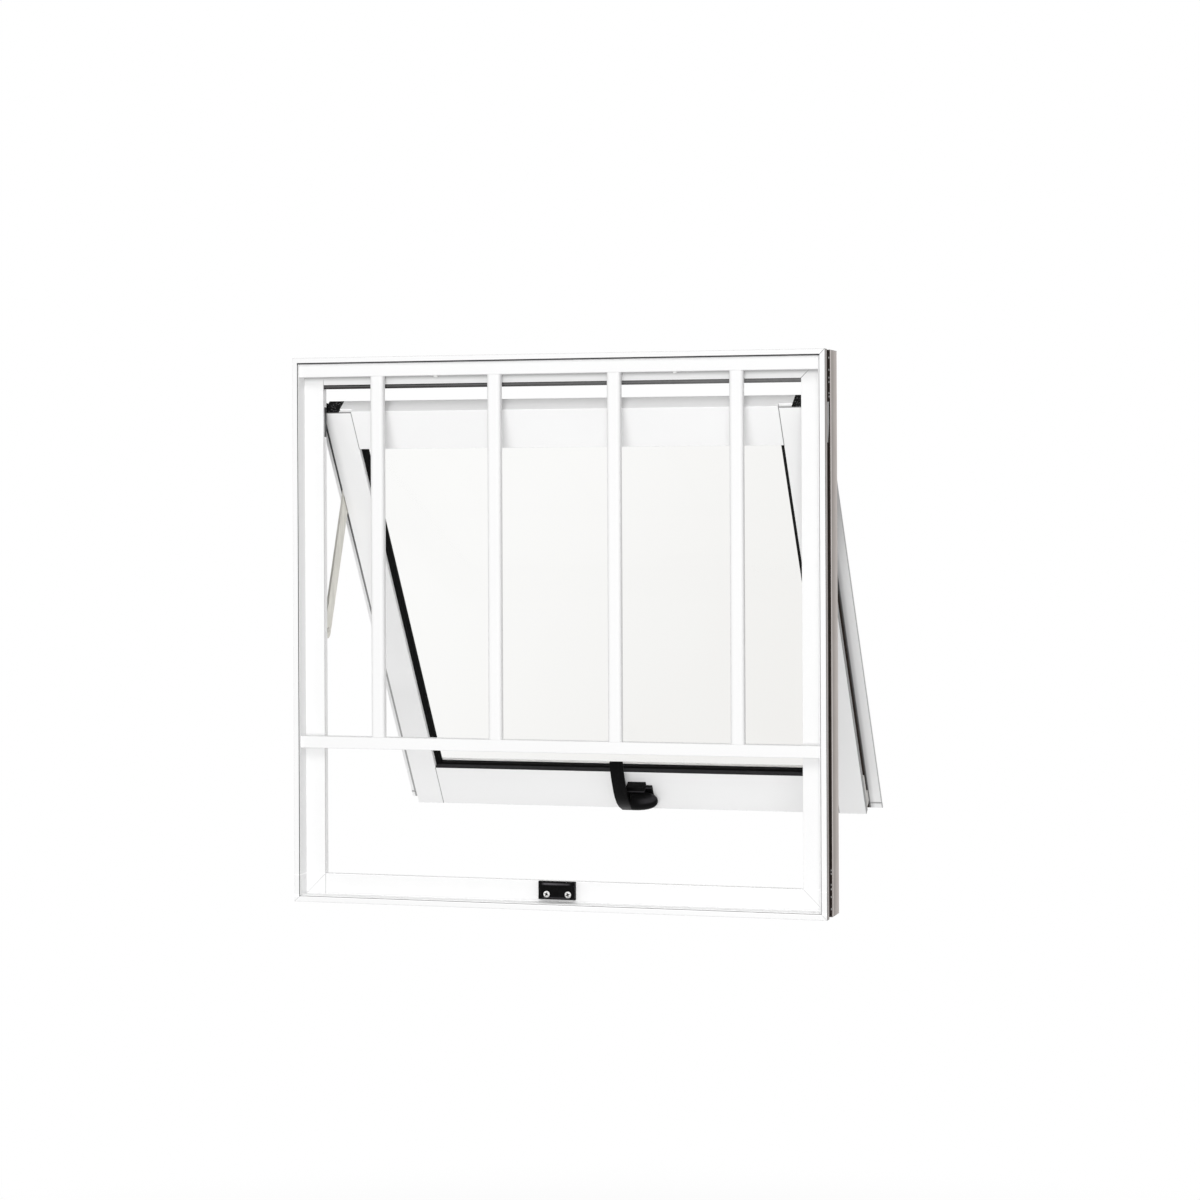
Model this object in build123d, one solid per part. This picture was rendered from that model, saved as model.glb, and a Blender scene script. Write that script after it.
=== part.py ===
from build123d import *

import math
import os

# White aluminium awning window with a fixed grille on the room side.
# +X is to the right seen from the room, +Y points outdoors, +Z is up, in millimetres.
# Depths are measured from the room face of the frame and moved by room_face at the end,
# so that the origin lies on the seat of the sill.

# Overall sizes of the frame
frame_width = 600.0
frame_height = 600.0
frame_depth = 61.0

# Frame section: reach is measured inwards from the outer edge of the frame
frame_wall = 1.5
lip_width = 5.8
groove_width = 0.8
groove_depth = 5.0
lip_corner = 0.5
reveal_face = 7.2
flange_depth = 18.5
flange_reach = 29.6
stop_depth = 25.5
slot_start = 11.0
slot_end = 27.0
slot_back = 32.0
slot_floor = 16.0
rear_leg = 7.5
track_lip = 13.0
track_width = 15.0
cleat_leg = 48.0
cleat_wall = 2.5
cleat_side_gap = 0.3
weather_gasket_thick = 2.7
weather_gasket_width = 8.0
weather_gasket_inset = 0.5
head_strip_drop = 4.3
head_strip_front = 19.2

# Grille
grille_front = 3.0
grille_wall = 1.2
top_rail_height = 14.0
low_rail_height = 13.0
low_rail_bottom = 169.6
bar_count = 4
bar_width = 15.0
bar_depth = 12.0
bar_corner = 4.0
rail_corner = 0.8
rail_screw_head = 2.6
rail_screw_drop = 2.0

# Sash: depths are measured from its room face, distances down from its top edge
sash_side_room = 25.0
sash_end_room = 22.0
sash_thick = 22.5
sash_wall = 1.5
stile_face = 32.0
top_rail_face = 49.5
bottom_rail_face = 53.3
glazing_leg = 5.5
pocket_depth = 11.5
side_wall_depth = 8.0
hardware_groove = 7.0
outer_flange = 15.0
outer_flange_bottom = 7.0
outer_flange_gap = 1.0
outer_flange_thick = 2.0
stop_clearance = 3.0
stile_end_wall = 2.0
stile_top_drop = 1.2
lap_gap = 0.3
sash_corner = 0.5

# Glass and its gaskets
glass_thick = 4.0
glass_edge_cover = 8.0
gasket_show = 6.0
gasket_deep = 7.3
low_gasket_lip = 1.5
low_gasket_set_back = 0.8
outer_gasket_thick = 1.5
outer_gasket_width = 8.0
bead_width = 10.5

# Opening hardware
open_angle = 33.4
arm_length = 165.0
arm_pivot_down = 115.0
arm_width = 18.0
arm_thick = 2.5
arm_gap = 0.3
pivot_depth = 11.0
rivet_radius = 2.5
rivet_head_radius = 3.0
rivet_head_thick = 1.2
boss_radius = 2.8
frame_boss_radius = 5.0
guide_block_width = 17.6
guide_block_height = 14.0
guide_roller_radius = 7.0
roller_end_gap = 0.3
guide_seat_gap = 0.1
corner_block_length = 42.0
corner_block_lift = 4.0
corner_block_leg = 6.0
corner_block_end = 15.0

# Latch on the bottom rail, its places measured up from the sash's lower edge
latch_base_left = -6.0
latch_base_right = 16.0
latch_foot_right = 23.5
latch_base_high = 47.0
latch_foot_high = 39.0
latch_base_low = 14.0
latch_base_thick = 12.0
latch_foot_thick = 5.0
barrel_radius = 12.0
barrel_up = 23.0
barrel_out = 13.0
barrel_straight = 10.0
barrel_length = 31.0
lever_width = 16.0
lever_thick = 3.8
lever_top = 86.0
lever_top_out = 22.0
lever_mid = 45.0
lever_mid_out = 28.0
lever_low = 4.5
lever_low_out = 10.0

# Keeper on the sill
keeper_width = 41.0
keeper_height = 19.5
keeper_thick = 7.5
keeper_low = 10.2
keeper_offset = -1.0
keeper_bevel = 2.5
keeper_corner = 0.8
keeper_screw_spacing = 24.0
keeper_screw_up = 5.2
keeper_screw_radius = 3.7
keeper_screw_proud = 0.9
screw_shank_radius = 1.6

# Derived places
room_face = -(slot_end + frame_depth) / 2
stop_back = stop_depth + frame_wall
closed_face_depth = stop_back + stop_clearance
track_front = slot_back + frame_wall
track_middle = closed_face_depth + pivot_depth
track_lip_depth = track_front + track_width
half_width = frame_width / 2
half_sash = half_width - sash_side_room
sash_height = frame_height - 2 * sash_end_room
stile_pocket = stile_face - pocket_depth
glass_depth = glazing_leg + gasket_deep
glass_back = glass_depth + glass_thick
bead_depth = glass_back + outer_gasket_thick
glass_half = half_sash - stile_face + glass_edge_cover
glass_top = top_rail_face - glass_edge_cover
glass_low = sash_height - bottom_rail_face + glass_edge_cover

# The sash hangs on two arms that are upright when it is shut and as long as from
# their pivots in the jambs to those on the stiles. Its top rides down the jambs.
shut_top = frame_height - sash_end_room
arm_foot_height = shut_top - arm_pivot_down - arm_length
swing = math.radians(open_angle)
roller_down = pivot_depth * (1 - math.cos(swing)) / math.sin(swing)
pivot_span = arm_pivot_down - roller_down
arm_rise = math.sqrt(arm_length**2 - (pivot_span * math.sin(swing)) ** 2)
roller_height = arm_foot_height + arm_rise + pivot_span * math.cos(swing)
top_edge_depth = (
    track_middle - roller_down * math.sin(swing) - pivot_depth * math.cos(swing)
)
top_edge_height = (
    roller_height + roller_down * math.cos(swing) - pivot_depth * math.sin(swing)
)
arm_lean = math.degrees(math.asin(pivot_span * math.sin(swing) / arm_length))
sash_plane = Plane(
    origin=(0, top_edge_depth, top_edge_height),
    x_dir=(1, 0, 0),
    z_dir=(0, math.cos(swing), math.sin(swing)),
)


def box(x, y, z):
    """Box between the low and high value given for each axis."""
    size = [high - low for low, high in (x, y, z)]
    middle = [(high + low) / 2 for low, high in (x, y, z)]
    return Pos(*middle) * Box(*size)


def prism(plane, points, length):
    """Prism of an outline, as long on both sides of its plane."""
    outline = plane * make_face(Polyline(*points, close=True))
    return extrude(outline, amount=length / 2, both=True)


def rounded(outline, corners, radius):
    """Outline with its corners nearest to the given points rounded."""
    for corner in corners:
        vertex = outline.vertices().sort_by_distance((*corner, 0))[0]
        outline = fillet(vertex, radius)
    return outline


def tube_along_x(radius, x_low, x_high, y, z):
    """Round bar along X."""
    middle = (x_low + x_high) / 2
    return Pos(middle, y, z) * Rot(0, 90, 0) * Cylinder(radius, x_high - x_low)


def on_sash(shape):
    """Carry a shape from the sash's own axes: right, down its face, and outwards."""
    return sash_plane.location * shape


def save(name, shape):
    """Write one sub-part, moved so that the origin is on the seat."""
    placed = Pos(0, room_face, 0) * shape
    export_step(placed, f"parts/{name}.step")


# Frame


def frame_section():
    """Section of every frame member: depth across, reach upwards."""
    wall = frame_wall
    cells = [
        # front lip, its outer wall and the back of the lip's tube
        (0, wall, 0, lip_width),
        (0, slot_start, 0, wall),
        (slot_start - wall, slot_start, 0, reveal_face),
        # reveal wall behind the lip
        (0, flange_depth + wall, reveal_face - 2 * wall, reveal_face),
        # flange, box behind it and the stop that the sash shuts against
        (flange_depth, flange_depth + wall, reveal_face - wall, flange_reach),
        (flange_depth, stop_depth, flange_reach - wall, flange_reach),
        (stop_depth, stop_back, slot_floor - wall, flange_reach),
        # floor and back of the anchor slot
        (flange_depth, slot_back + wall, slot_floor - wall, slot_floor),
        (slot_back, slot_back + wall, 0, slot_floor),
        # rear leg, and the lip that keeps the sash rollers on their track
        (slot_end, frame_depth, 0, wall),
        (slot_back, frame_depth, rear_leg - wall, rear_leg),
        (frame_depth - wall, frame_depth, 0, rear_leg),
        (track_lip_depth, track_lip_depth + wall, rear_leg - wall, track_lip),
    ]
    section = Sketch()
    for depth_low, depth_high, reach_low, reach_high in cells:
        middle = Pos((depth_low + depth_high) / 2, (reach_low + reach_high) / 2)
        section += middle * Rectangle(depth_high - depth_low, reach_high - reach_low)
    groove_middle = Pos(groove_depth / 2, lip_width + groove_width / 2)
    section -= groove_middle * Rectangle(groove_depth, groove_width)
    corners = [(0, 0), (flange_depth, flange_reach), (frame_depth, 0)]
    return rounded(section, corners, lip_corner)


def frame_member(length):
    """Frame member along X with both ends cut at 45 degrees, its outer edge at Z = 0."""
    bar = extrude(Plane.YZ * frame_section(), amount=length / 2, both=True)
    reach = flange_reach
    half = length / 2
    mitre = [(-half, 0), (half, 0), (half - reach, reach), (reach - half, reach)]
    return bar & prism(Plane.XZ, mitre, 4 * frame_depth)


def frame_ring(reach_low, reach_high, depth_low, depth_high):
    """Rectangular ring that follows the frame at a given reach."""
    outer = Box(
        frame_width - 2 * reach_low,
        depth_high - depth_low,
        frame_height - 2 * reach_low,
    )
    inner = Box(
        frame_width - 2 * reach_high, frame_depth, frame_height - 2 * reach_high
    )
    middle = Pos(0, (depth_low + depth_high) / 2, frame_height / 2)
    return middle * (outer - inner)


def corner_cleat(side, level):
    """Angle that joins two members in the anchor slot, at side -1 or 1 and level 0 or 1."""
    depth = (
        flange_depth + frame_wall + cleat_side_gap,
        slot_back - cleat_side_gap,
    )
    outer = slot_floor - frame_wall - cleat_wall
    corner_x = side * (half_width - outer)
    corner_z = frame_height - outer if level else outer
    leg_x = sorted((corner_x, corner_x - side * cleat_leg))
    wall_x = sorted((corner_x, corner_x - side * cleat_wall))
    down = -1 if level else 1
    leg_z = sorted((corner_z, corner_z + down * cleat_leg))
    wall_z = sorted((corner_z, corner_z + down * cleat_wall))
    return box(leg_x, depth, wall_z) + box(wall_x, depth, leg_z)


def make_frame():
    save("frame_sill", frame_member(frame_width))
    head = Pos(0, 0, frame_height) * Rot(0, 180, 0) * frame_member(frame_width)
    save("frame_head", head)
    for name, side in (("left", -1), ("right", 1)):
        place = Pos(side * half_width, 0, frame_height / 2) * Rot(0, -90 * side, 0)
        save(f"frame_jamb_{name}", place * frame_member(frame_height))
        save(f"corner_cleat_bottom_{name}", corner_cleat(side, 0))
        save(f"corner_cleat_top_{name}", corner_cleat(side, 1))
    seal = frame_ring(
        flange_reach - weather_gasket_width,
        flange_reach - weather_gasket_inset,
        stop_back,
        stop_back + weather_gasket_thick,
    )
    save("frame_weather_gasket", seal)
    strip_half = half_width - flange_reach
    strip_top = frame_height - flange_reach
    strip = box(
        (-strip_half, strip_half),
        (head_strip_front, stop_back),
        (strip_top - head_strip_drop, strip_top),
    )
    save("head_weather_strip", strip)


# Grille


def grille_rail(low, height):
    """Hollow rail from reveal to reveal, seated on the flanges of the jambs."""
    length = frame_width - 2 * reveal_face
    depth = flange_depth - grille_front
    outline = RectangleRounded(depth, height, rail_corner)
    hollow = Rectangle(depth - 2 * grille_wall, height - 2 * grille_wall)
    rail = extrude(Plane.YZ * (outline - hollow), amount=length / 2, both=True)
    return Pos(0, grille_front + depth / 2, low + height / 2) * rail


def make_grille():
    top_rail_bottom = frame_height - reveal_face - top_rail_height
    save("grille_top_rail", grille_rail(top_rail_bottom, top_rail_height))
    save("grille_bottom_rail", grille_rail(low_rail_bottom, low_rail_height))
    bar_low = low_rail_bottom + low_rail_height
    bar_length = top_rail_bottom - bar_low
    pitch = (frame_width - 2 * flange_reach) / bar_count
    outline = RectangleRounded(bar_width, bar_depth, bar_corner)
    hollow = RectangleRounded(
        bar_width - 2 * grille_wall,
        bar_depth - 2 * grille_wall,
        bar_corner - grille_wall,
    )
    bar = extrude(outline - hollow, amount=bar_length)
    for number in range(bar_count):
        x = (number - (bar_count - 1) / 2) * pitch
        place = Pos(x, grille_front + bar_depth / 2, bar_low)
        save(f"grille_bar_{number + 1}", place * bar)
    screws = Compound(
        children=[
            Pos(side * pitch, grille_front + bar_depth / 2, top_rail_bottom)
            * Pos(0, 0, -rail_screw_drop / 2)
            * Cylinder(rail_screw_head, rail_screw_drop)
            for side in (-1, 1)
        ]
    )
    save("grille_rail_screws", screws)


# Sash, in its own axes: right, down its face, and outwards through its thickness


def stile(side):
    """Hollow stile, full height, with a groove for the arm and an outer flange."""
    wall = sash_wall
    skin = sash_thick - outer_flange_thick
    outline = [
        (0, 0),
        (stile_face, 0),
        (stile_face, glazing_leg),
        (stile_pocket, glazing_leg),
        (stile_pocket, sash_thick),
        (-outer_flange, sash_thick),
        (-outer_flange, skin),
        (hardware_groove, skin),
        (hardware_groove, side_wall_depth),
        (0, side_wall_depth),
    ]
    inside = [
        (wall, wall),
        (stile_face - wall, wall),
        (stile_face - wall, glazing_leg - wall),
        (stile_pocket - wall, glazing_leg - wall),
        (stile_pocket - wall, sash_thick - wall),
        (hardware_groove + wall, sash_thick - wall),
        (hardware_groove + wall, side_wall_depth - wall),
        (wall, side_wall_depth - wall),
    ]

    def to_face(points, corners=()):
        placed = [(side * (half_sash - across), deep) for across, deep in points]
        marks = [(side * (half_sash - across), deep) for across, deep in corners]
        face = make_face(Polyline(*placed, close=True))
        return Plane.XZ * rounded(face, marks, sash_corner)

    corners = [(0, 0), (stile_face, 0), (-outer_flange, sash_thick)]
    body = extrude(to_face(outline, corners), amount=-sash_height)
    void_top = guide_block_height + stile_end_wall
    void = Pos(0, void_top, 0) * extrude(
        to_face(inside), amount=-(sash_height - void_top)
    )
    notch_x = sorted(
        (
            side * (half_sash + outer_flange + 1),
            side * (half_sash - guide_block_width),
        )
    )
    notch = box(notch_x, (-1, guide_block_height), (wall, sash_thick + 1))
    step_x = sorted((notch_x[0], notch_x[1], side * (half_sash - stile_face - 1)))
    step = box((step_x[0], step_x[-1]), (-1, stile_top_drop), (-1, glazing_leg))
    return body - void - notch - step


def rail(face, flange):
    """Hollow rail between the stiles, its outer edge at 0, with an outer flange."""
    wall = sash_wall
    skin = sash_thick - outer_flange_thick
    pocket = face - pocket_depth
    half = half_sash - stile_pocket
    outline = [(0, 0), (face, 0), (face, glazing_leg), (pocket, glazing_leg)]
    outline += [(pocket, sash_thick)]
    if flange:
        outline += [(-flange, sash_thick), (-flange, skin), (0, skin)]
    else:
        outline += [(0, sash_thick)]
    corners = [(0, 0), (face, 0)]
    inside = [
        (wall, wall),
        (face - wall, wall),
        (face - wall, glazing_leg - wall),
        (pocket - wall, glazing_leg - wall),
        (pocket - wall, sash_thick - wall),
        (wall, sash_thick - wall),
    ]
    section = rounded(make_face(Polyline(*outline, close=True)), corners, sash_corner)
    body = extrude(Plane.YZ * section, amount=half, both=True)
    body -= prism(Plane.YZ, inside, 2 * half)
    for side in (-1, 1):
        lap_x = sorted((side * (half + 1), side * (half_sash - stile_face - lap_gap)))
        body -= box(lap_x, (-1, face + 1), (-1, glazing_leg))
    if flange:
        # the flange runs on under the ends of the stiles, clear of them
        reach = half_sash + outer_flange
        body += box((-reach, reach), (-flange, -outer_flange_gap), (skin, sash_thick))
    return body


def glazing_ring(cover, depth_low, depth_high, width):
    """Ring around the glass, as far out as the cover, in the sash's own axes."""
    half = glass_half - glass_edge_cover + cover
    top = glass_top + glass_edge_cover - cover
    low = glass_low - glass_edge_cover + cover
    outer = box((-half, half), (top, low), (depth_low, depth_high))
    inner = box(
        (width - half, half - width),
        (top + width, low - width),
        (depth_low - 1, depth_high + 1),
    )
    return outer - inner


def make_sash():
    for name, side in (("left", -1), ("right", 1)):
        save(f"sash_stile_{name}", on_sash(stile(side)))
    save("sash_rail_top", on_sash(rail(top_rail_face, 0)))
    flipped = rail(bottom_rail_face, outer_flange_bottom).mirror(Plane.XZ)
    save("sash_rail_bottom", on_sash(Pos(0, sash_height, 0) * flipped))
    pane = box(
        (-glass_half, glass_half), (glass_top, glass_low), (glass_depth, glass_back)
    )
    save("glass_pane", on_sash(pane))
    inner = glazing_ring(
        glass_edge_cover, glazing_leg, glass_depth, glass_edge_cover + gasket_show
    )
    leg_edge = sash_height - bottom_rail_face
    lip_half = half_sash - stile_face
    low_lip = box(
        (-lip_half, lip_half),
        (leg_edge - low_gasket_lip, leg_edge),
        (low_gasket_set_back, glazing_leg),
    )
    save("glazing_gasket_inner", on_sash(inner + low_lip))
    outer = glazing_ring(glass_edge_cover, glass_back, bead_depth, outer_gasket_width)
    save("glazing_gasket_outer", on_sash(outer))
    make_beads()


def make_beads():
    """Four beads that hold the glass from outdoors, the upright ones between the others."""
    depth = (bead_depth, sash_thick)
    edge_x = half_sash - stile_pocket
    top = top_rail_face - pocket_depth
    low = sash_height - bottom_rail_face + pocket_depth
    beads = {
        "top": box((-edge_x, edge_x), (top, top + bead_width), depth),
        "bottom": box((-edge_x, edge_x), (low - bead_width, low), depth),
        "left": box(
            (-edge_x, bead_width - edge_x), (top + bead_width, low - bead_width), depth
        ),
        "right": box(
            (edge_x - bead_width, edge_x), (top + bead_width, low - bead_width), depth
        ),
    }
    for name, bead in beads.items():
        save(f"glazing_bead_{name}", on_sash(bead))


# Opening hardware


def make_hardware():
    arm_inner = half_sash + arm_gap
    arm_outer = arm_inner + arm_thick
    track_wall = half_width - rear_leg
    groove_wall = half_sash - hardware_groove
    for name, side in (("left", -1), ("right", 1)):

        def span(near, far):
            return sorted((side * near, side * far))

        # nylon block in the top end of the stile, with the roller for the track
        block_x = span(half_sash - guide_block_width + guide_seat_gap, half_sash)
        block = box(
            block_x,
            (0, guide_block_height - guide_seat_gap),
            (sash_wall + guide_seat_gap, sash_thick),
        )
        block += box(block_x, (0, stile_top_drop - guide_seat_gap), (0, sash_thick))
        roller_x = span(half_sash, track_wall - roller_end_gap)
        roller = tube_along_x(
            guide_roller_radius, *roller_x, roller_down, pivot_depth
        )
        save(f"guide_block_{name}", on_sash(block + roller))

        # light block at the bottom of the groove, with a slimmer leg up its room side
        low = sash_height - corner_block_lift
        skin = sash_thick - outer_flange_thick
        plug_x = span(groove_wall, half_sash)
        plug = box(plug_x, (low - corner_block_end, low), (side_wall_depth, skin))
        leg_depth = (side_wall_depth, side_wall_depth + corner_block_leg)
        plug += box(plug_x, (low - corner_block_length, low), leg_depth)
        save(f"stile_corner_block_{name}", on_sash(plug))

        # arm between its two pivots
        flat = SlotCenterToCenter(arm_length, arm_width)
        holes = Pos(arm_length / 2, 0) * Circle(rivet_radius)
        holes += Pos(-arm_length / 2, 0) * Circle(rivet_radius)
        bar = extrude(flat - holes, amount=arm_thick / 2, both=True)
        upright = Rot(0, 90, 0) * bar
        middle_x = side * (arm_inner + arm_outer) / 2
        leaning = (
            Pos(middle_x, track_middle, arm_foot_height)
            * Rot(-arm_lean, 0, 0)
            * Pos(0, 0, arm_length / 2)
            * upright
        )
        save(f"stay_arm_{name}", leaning)

        # pivot in the jamb: boss, rivet through the arm and rivet head
        foot = (track_middle, arm_foot_height)
        boss = tube_along_x(frame_boss_radius, *span(arm_outer, track_wall), *foot)
        shank = tube_along_x(rivet_radius, *span(arm_inner, arm_outer), *foot)
        head = tube_along_x(
            rivet_head_radius, *span(arm_inner - rivet_head_thick, arm_inner), *foot
        )
        save(f"stay_pivot_frame_{name}", boss + shank + head)

        # pivot on the stile: boss in the groove, rivet and outer head
        spot = (arm_pivot_down, pivot_depth)
        boss = tube_along_x(boss_radius, *span(groove_wall, arm_inner), *spot)
        shank = tube_along_x(rivet_radius, *span(arm_inner, arm_outer), *spot)
        head = tube_along_x(
            rivet_head_radius, *span(arm_outer, arm_outer + rivet_head_thick), *spot
        )
        save(f"stay_pivot_sash_{name}", on_sash(boss + shank + head))


# Latch and keeper


def latch_body():
    """Stepped base on the bottom rail, with a round nose across it."""
    low = sash_height - latch_base_low
    base = box(
        (latch_base_left, latch_base_right),
        (sash_height - latch_base_high, low),
        (-latch_base_thick, 0),
    )
    foot = box(
        (latch_base_left, latch_foot_right),
        (sash_height - latch_foot_high, low),
        (-latch_foot_thick, 0),
    )
    slope = (barrel_straight + barrel_length) / 2 + 3.0
    line = Polyline((barrel_length, 0), (0, 0), (0, barrel_radius))
    line += Line((0, barrel_radius), (barrel_straight, barrel_radius))
    line += ThreePointArc(
        (barrel_straight, barrel_radius),
        (slope, barrel_radius * 0.74),
        (barrel_length, 0),
    )
    nose = revolve(make_face(line), Axis.X)
    return base + foot + Pos(0, sash_height - barrel_up, -barrel_out) * nose


def latch_lever():
    """Bowed blade beside the nose: it stands off the sash and turns in at its low end."""
    top, mid, low = (sash_height - up for up in (lever_top, lever_mid, lever_low))
    near = [(top, -lever_top_out), (mid, -lever_mid_out), (low, -lever_low_out)]
    thick = lever_thick
    far = [
        (top, thick - lever_top_out),
        (mid, thick - lever_mid_out),
        (low - thick, thick / 2 - lever_low_out),
    ]
    line = ThreePointArc(*near) + Line(near[2], far[2])
    line += ThreePointArc(*reversed(far)) + Line(far[0], near[0])
    return extrude(Plane.YZ * make_face(line), amount=-lever_width)


def make_latch():
    save("latch_body", on_sash(latch_body()))
    save("latch_lever", on_sash(latch_lever()))
    middle = (keeper_offset, flange_depth - keeper_thick / 2)
    block = Pos(*middle, keeper_low + keeper_height / 2) * Box(
        keeper_width, keeper_thick, keeper_height
    )
    front_edges = block.faces().sort_by(Axis.Y)[0].edges()
    top_edge = front_edges.sort_by(Axis.Z)[-1]
    block = chamfer(top_edge, keeper_bevel)
    upright = block.edges().filter_by(Axis.Z)
    keeper = fillet(upright, keeper_corner)
    screws = []
    for side in (-1, 1):
        x = keeper_offset + side * keeper_screw_spacing / 2
        z = keeper_low + keeper_screw_up
        front = flange_depth - keeper_thick
        place = Pos(x, front, z) * Rot(90, 0, 0)
        shank = place * Pos(0, 0, -keeper_thick / 2) * Cylinder(
            screw_shank_radius, keeper_thick
        )
        head = place * Pos(0, 0, keeper_screw_proud / 2) * Cylinder(
            keeper_screw_radius, keeper_screw_proud
        )
        keeper -= shank
        screws.append(shank + head)
    save("latch_keeper", keeper)
    save("keeper_screws", Compound(children=screws))


os.makedirs("parts", exist_ok=True)
make_frame()
make_grille()
make_sash()
make_hardware()
make_latch()
print("top edge depth and height", round(top_edge_depth, 2), round(top_edge_height, 2))
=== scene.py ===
"""Looks of the awning window: finishes, seals, screws, latch, keeper, light and camera."""

import math

import bmesh
import bpy
from bpy.props import FloatProperty, FloatVectorProperty, PointerProperty
from mathutils import Matrix, Vector


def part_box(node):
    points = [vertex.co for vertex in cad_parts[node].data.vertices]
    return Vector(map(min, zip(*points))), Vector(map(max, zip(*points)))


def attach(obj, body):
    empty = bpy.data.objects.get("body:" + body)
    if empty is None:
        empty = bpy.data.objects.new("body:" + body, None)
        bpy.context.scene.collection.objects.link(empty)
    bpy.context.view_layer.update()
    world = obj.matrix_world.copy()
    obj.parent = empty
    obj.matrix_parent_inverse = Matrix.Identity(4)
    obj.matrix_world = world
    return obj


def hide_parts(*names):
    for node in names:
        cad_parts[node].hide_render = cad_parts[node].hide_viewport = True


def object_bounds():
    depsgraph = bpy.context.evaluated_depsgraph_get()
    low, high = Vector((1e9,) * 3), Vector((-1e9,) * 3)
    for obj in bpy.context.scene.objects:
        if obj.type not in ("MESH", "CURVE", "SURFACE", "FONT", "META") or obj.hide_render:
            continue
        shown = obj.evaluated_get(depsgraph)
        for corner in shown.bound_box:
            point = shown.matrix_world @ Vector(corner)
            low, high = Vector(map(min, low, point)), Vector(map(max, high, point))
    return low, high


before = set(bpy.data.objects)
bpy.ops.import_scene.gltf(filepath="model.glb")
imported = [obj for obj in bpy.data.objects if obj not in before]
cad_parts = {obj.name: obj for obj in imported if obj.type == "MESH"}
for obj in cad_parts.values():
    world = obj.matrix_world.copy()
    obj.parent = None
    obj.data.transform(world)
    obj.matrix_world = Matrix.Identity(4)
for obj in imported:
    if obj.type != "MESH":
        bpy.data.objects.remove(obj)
CAD_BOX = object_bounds()

bl_info = {
    "name": "Awning window looks",
    "version": (1, 0, 0),
    "blender": (4, 5, 0),
    "location": "View3D > Sidebar > Window",
    "description": "Finishes, seals, screws and latch for the awning window",
    "category": "Object",
}

MM = 0.001
MIDDLE_HEIGHT = 0.3

# Frame section in millimetres: reaches in from its outer edge, depths from its room face.
# A pair is where a band starts and where it ends.
FRAME_DEPTH = 61.0
OUTER_SKIN = 0.12
LIP_GROOVE = (5.7, 6.7)
HEAD_GROOVE = (5.35, 7.1)
GROOVE_START = 5.5
GROOVE_DEPTH = (-1.0, 5.3)
SILL_LEDGE = (5.0, 8.0)
SILL_FLANGE = (29.0, 30.2)
SILL_EDGE_DEPTH = (-1.0, 27.5)
STOP_EDGE = (29.2, 30.0)
STOP_FRONT_DEPTH = (18.0, 19.4)
STOP_SHADE_DEPTH = (20.6, 27.5)
STOP_SHADE_HEIGHT = (513.0, 546.0)
STOP_WALL = (29.2, 30.2)
STOP_WALL_DEPTH = (19.5, 27.5)
RAIL_SHADOW_START = 20.5
RAIL_SHADOW_DEPTH = (18.0, 19.2)

# Anchor channel round the outside, in the same millimetres
CHANNEL_MOUTH = (0.15, 4.9)
CHANNEL_MOUTH_DEPTH = (10.8, 27.2)
CHANNEL_UNDERCUT = (1.4, 15.0)
CHANNEL_UNDERCUT_DEPTH = (19.8, 32.3)
LIT_WEDGE = (55.0, 98.0)
LIT_WEDGE_START = 1.5
LIT_WEDGE_TAPER = 0.052
SCRATCH_REACH = (0.9, 2.6)

# Sash section in millimetres: across from the middle, down the face, and outwards from it
STILE_JOINT = 243.0
STILE_EDGE = 275.0
STILE_WALL = (274.6, 275.6)
STILE_WALL_BACK = 8.2
SHADOW_START = 274.0
SHADOW_EDGE = 275.5
FLANGE_START = 276.0
FLANGE_RIM = 288.9
FLANGE_FRONT = 15.0
LEFT_FLANGE = (-286.6, -275.2)
FACE_BACK = 1.2
TOP_RAIL_END = 50.0
BOTTOM_RAIL_START = 502.0
TOP_EDGE_END = 2.1
BOTTOM_GAP = (554.5, 556.2)
TRACK_WALL = 20.5
TRACK_REACH = (0.6, 7.4)
TRACK_THROUGH = (7.8, 20.7)

# Glazing seals on the sash, in the same millimetres
SEAL_HALF, SEAL_TOP, SEAL_LOW = 251.0, 41.5, 510.7
INNER_SEAL_LOW_SHARE = 0.70
RAIL_EDGE = 502.7

# Keeper screws in millimetres, but for their turns in degrees
SCREW_RAISE = 0.7
SCREW_SHIFT = 1.5
SCREW_SHANK = 5.5
SCREW_TURNS = (24, -20)
# Screw head as shares of its radius and height
HEAD_SIDES = 48
SHANK_SHARE = 0.55
HEAD_PROFILE = (
    (SHANK_SHARE, 0.0),
    (0.98, 0.0),
    (1.0, 0.12),
    (0.985, 0.35),
    (0.93, 0.58),
    (0.82, 0.78),
    (0.66, 0.91),
)

# Keeper and latch, in millimetres; the latch's places are the sash's down and outwards
KEEPER_RIM = 2.2
KEEPER_SLOPE = (0.6, 2.4)
LEVER_SIDES = (-16.0, 0.0)
LEVER_STATIONS = (
    (470.0, -22.0, 3.0),
    (478.0, -24.3, 3.6),
    (488.0, -26.4, 3.9),
    (500.0, -27.7, 4.0),
    (511.0, -28.0, 4.0),
    (521.0, -27.0, 4.0),
    (531.0, -24.0, 3.9),
    (540.0, -19.0, 3.8),
    (547.0, -13.4, 3.6),
    (551.5, -10.0, 3.2),
)
BODY_BLOCKS = (
    ((-6.0, 16.0), (516.0, 542.0), (-12.0, 0.0)),
    ((15.0, 23.5), (520.5, 542.0), (-5.0, 0.0)),
)
NOSE_SIDES = 32
NOSE_DOWN, NOSE_OUT = 534.2, -13.0
HIGHLIGHT_DOWN, NOSE_HIGHLIGHT_DOWN = 521.5, 528.5
NOSE_RADII = (
    (0.0, 11.4),
    (8.0, 11.3),
    (14.0, 10.8),
    (19.0, 9.9),
    (23.5, 8.6),
    (27.0, 6.8),
    (29.5, 4.4),
    (30.8, 1.6),
)

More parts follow.
